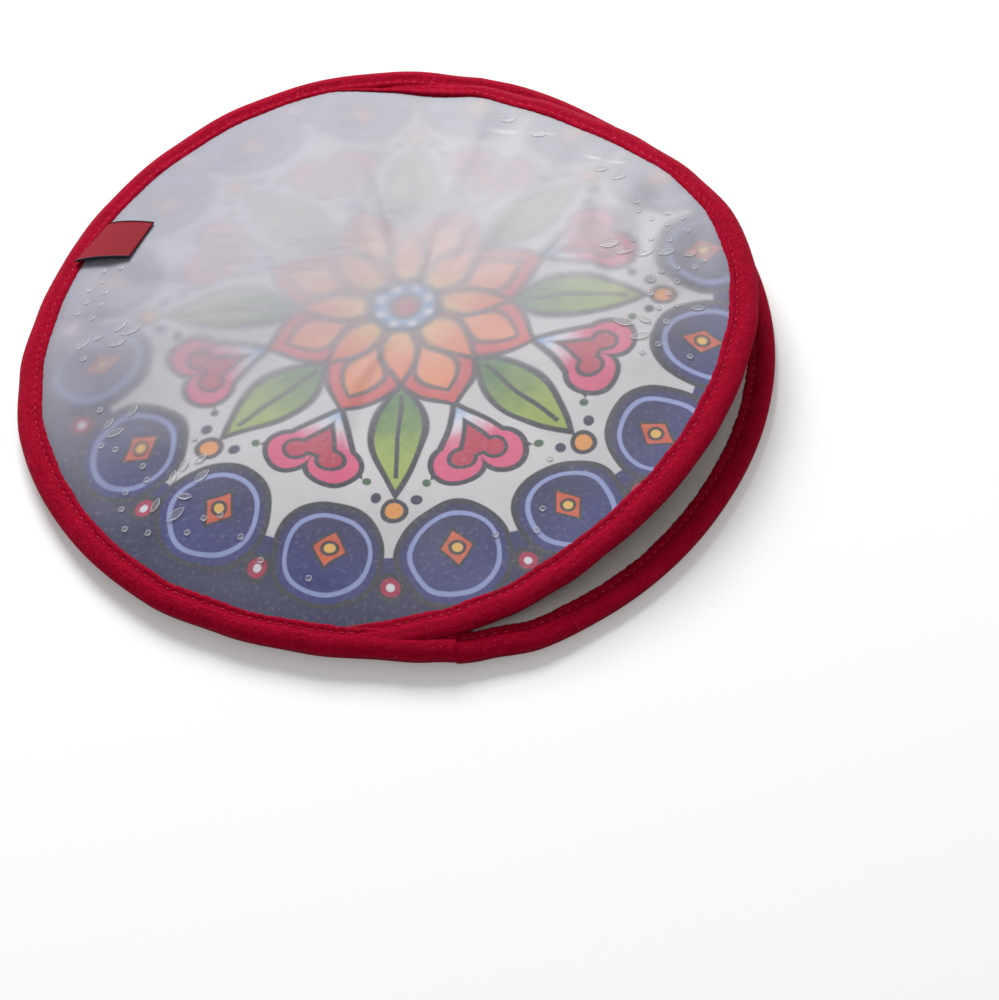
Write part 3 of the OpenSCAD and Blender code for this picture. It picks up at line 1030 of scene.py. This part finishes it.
# Vent slits: small lens-shaped flaps pressed up in the film, in groups. Each large one has its place,
# its half length and the turn of its chord, and each small one only its place.
LARGE_VENTS = ((74, 34, 4.2, 8), (80, 30, 3.8, 20), (88, 29, 3.6, 24), (96, 29, 3.6, 24), (105, 29, 2.7, 22),
               (80, -7, 4.2, -18), (86, -14, 4.2, 12), (88, -6, 3.1, -32), (108, 1, 2.7, 4),
               (-114, 4, 3.2, 46), (-109, 1, 4.6, 24), (-114, -5, 3.8, 14), (-128, -2, 3.8, 48),
               (-122, 0, 2.3, 30), (-105, -40, 3.1, 58), (-114, -44, 2.9, 48), (-111, -49, 3.8, 14),
               (-83, -68, 3.4, 68), (-77, -66, 3.1, 40), (-76, -74, 3.8, 44), (-87, -73, 3.1, 78),
               (-82, -82, 3.1, -10), (-93, -84, 3.1, 60), (-85, -89, 4.2, 34),
               (32, 115, 3.8, -4), (45, 104, 3.4, 4), (70, 80, 3.4, 8), (77, 74, 3.4, 16))
SMALL_VENTS = ((85, 54), (90, 49), (96, 45), (96, 52), (104, 42), (84, 59), (102, 49), (83, 37), (90, 37),
               (97, 36), (100, 21), (94, 19), (90, 14), (100, 14), (97, 8), (107, 22), (90, 7), (100, 2),
               (93, 0), (96, -7), (87, -22), (93, -18), (105, -23), (110, 26),
               (-124, 38), (-124, 32), (-129, 28), (-122, 25), (-129, 21), (-123, 18), (-132, 16), (-126, 12),
               (-117, 38), (-127, -10), (-110, -57), (-116, -54), (-118, -37), (-99, -66), (-97, -72),
               (-105, -76), (-106, -83), (-74, -92), (-80, -97), (-68, -91), (-104, -92), (-95, -95),
               (-80, -56), (53, -69), (51, -91), (49, -100), (34, -102), (-34, -118), (-52, -110),
               (-60, -100))
VENT_DEPTH = 0.42  # of a large one, as a share of its half length
SMALL_SIZE = (1.35, 1.15)  # half length and depth of a small one
LIPS = ((-1.0, 0.24, 0.24), (0.8, 0.13, 0.10))  # the open lip and the fainter fold: side, half width, rise
LENS, ACROSS, SUNK = 17, 5, -0.05  # points along a slit and across it, and its foot in the film


def make_vents():
    verts, faces = [], []  # each vertex: its place, and 1 on the film between the lips
    rng = random.Random(41)
    places = [(x, y, reach, VENT_DEPTH * reach, turn) for x, y, reach, turn in LARGE_VENTS]
    places += [(x, y, *SMALL_SIZE, rng.uniform(-5, 50)) for x, y in SMALL_VENTS]
    for x, y, reach, depth, turn in places:
        start = len(verts)
        for side, half, rise in LIPS:
            first = len(verts)
            for i in range(LENS):
                t = 2 * i / (LENS - 1) - 1
                fade = 0.3 + 0.7 * (1 - t * t) ** 0.6
                bow, crest = side * depth * (1 - t * t), rise * fade
                for off, up in ((-half, SUNK), (-half * 0.4, crest), (half * 0.6, crest), (half, SUNK)):
                    verts.append([t * reach, bow + off * fade, up, 0])
            rings = [[first + 4 * i + m % 4 for m in range(5)] for i in range(LENS)]
            faces += cells(rings, False) + [rings[0][:4], rings[-1][3::-1]]
        # the film between them, a shallow pillow
        last, top, under = ACROSS - 1, {}, {}
        for i in range(1, LENS - 1):
            t = 2 * i / (LENS - 1) - 1
            for k in range(ACROSS):
                bow = depth * (1 - t * t) * (-1.0 + 1.8 * k / last)
                swell = math.sin(math.pi * k / last) * (1 - t * t)
                for grid, up in ((top, 0.03 + 0.16 * swell), (under, SUNK)):
                    grid[i, k] = len(verts)
                    verts.append([t * reach, bow, up, 1])
        for i in range(1, LENS - 2):
            for k in range(last):
                faces.append([top[i, k], top[i + 1, k], top[i + 1, k + 1], top[i, k + 1]])
                faces.append([under[i, k], under[i, k + 1], under[i + 1, k + 1], under[i + 1, k]])
            faces.append([top[i, 0], under[i, 0], under[i + 1, 0], top[i + 1, 0]])
            faces.append([top[i + 1, last], under[i + 1, last], under[i, last], top[i, last]])
        for i, flip in ((1, False), (LENS - 2, True)):
            for k in range(last):
                faces.append(turned([top[i, k], top[i, k + 1], under[i, k + 1], under[i, k]], flip))
        c, s = math.cos(math.radians(turn)), math.sin(math.radians(turn))
        verts[start:] = [[x + a * c - b * s, y + a * s + b * c, up, k] for a, b, up, k in verts[start:]]
    v = np.array(verts)
    flat = v[:, [0, 1, 3]]
    v[:, 2] += top_height(np.degrees(np.arctan2(v[:, 1], v[:, 0])), np.hypot(v[:, 0], v[:, 1]))
    v[:, 0] += CENTRE_X
    return new_mesh("vent_slits", v[:, :3] * MM, faces, flat)


vents = dress(make_vents(), vent_material(), [], bend=True)


# ---- floor, light, camera
FLOOR_SIZE, FLOOR_Z, FLOOR_GREY = 12, -0.0002, 0.80  # the first two in m
GLOW_NEAR, GLOW_FAR = (0.6, 0.20), (3.5, 0.85)  # the floor's glow: distance in m and strength
SKY_LIGHT = 0.32  # the world's light on the object


def floor_material():
    """Pale and matt. Far off it glows towards the backdrop's white, in what the camera sees."""
    n = Nodes("pale_floor")
    diffuse = n.new("ShaderNodeBsdfDiffuse")
    diffuse.inputs[0].default_value = (FLOOR_GREY, FLOOR_GREY, FLOOR_GREY, 1)
    glow = n.new("ShaderNodeEmission")
    glow.inputs[0].default_value = (1, 1, 1, 1)
    x, y, _ = n.split(n.new("ShaderNodeTexCoord").outputs["Object"])
    strength = n.ramp(n.hyp(x, y), GLOW_NEAR[0], GLOW_FAR[0], GLOW_NEAR[1], GLOW_FAR[1])
    n.put(n.mul(n.backdrop_rays(), strength), glow.inputs[1])
    both = n.new("ShaderNodeAddShader")
    n.put(diffuse.outputs[0], both.inputs[0])
    n.put(glow.outputs[0], both.inputs[1])
    n.put(both.outputs[0], n.out.inputs[0])
    return n.owner


bpy.ops.mesh.primitive_plane_add(size=FLOOR_SIZE, location=(0, 0, FLOOR_Z))
floor = bpy.context.object
floor.name = "floor"
floor.data.materials.append(floor_material())

w = Nodes("world", "World")
scene.world = w.owner
sky = w.new("ShaderNodeBackground")
sky.inputs[0].default_value = (1, 1, 1, 1)
w.put(w.mad(w.backdrop_rays(), 1.0 - SKY_LIGHT, SKY_LIGHT), sky.inputs[1])
w.put(sky.outputs[0], w.out.inputs[0])


def area_light(name, place, size, power):
    """A square lamp that looks at the origin."""
    data = bpy.data.lights.new(name, "AREA")
    data.energy, data.size = power, size
    obj = bpy.data.objects.new(name, data)
    scene.collection.objects.link(obj)
    obj.location = place
    obj.rotation_euler = (-Vector(place)).to_track_quat("-Z", "Y").to_euler()


area_light("key", (-0.45, 1.5, 1.35), 1.0, 52)
area_light("fill", (0.5, -1.5, 1.6), 1.6, 3)

# The photograph's view: azimuth, height angle and roll, distance (mm), focal length and width in pixels
AZ, EL, ROLL = math.radians(5), math.radians(49.8), math.radians(4.3)
DIST, FOCAL_PX, WIDE_PX, SENSOR = 1500.0, 4039.0, 999.0, 36.0
TARGET = Vector((41.5, -75.1, 7.0))
right = Vector((math.cos(AZ), math.sin(AZ), 0))
ahead = Vector((-math.sin(AZ), math.cos(AZ), 0))
back = -ahead * math.cos(EL) + Vector((0, 0, 1)) * math.sin(EL)
up = ahead * math.sin(EL) + Vector((0, 0, 1)) * math.cos(EL)
r2 = right * math.cos(ROLL) - up * math.sin(ROLL)
u2 = right * math.sin(ROLL) + up * math.cos(ROLL)
cam_data = bpy.data.cameras.new("camera")
cam_data.sensor_fit = "HORIZONTAL"
cam_data.sensor_width = SENSOR
cam_data.lens = SENSOR * FOCAL_PX / WIDE_PX
cam_data.clip_start, cam_data.clip_end = 0.05, 20
camera = bpy.data.objects.new("camera", cam_data)
scene.collection.objects.link(camera)
camera.matrix_world = Matrix.Translation((TARGET + back * DIST) * MM) @ Matrix(
    (r2, u2, back)).transposed().to_4x4()
scene.camera = camera
scene.view_settings.view_transform = "Standard"
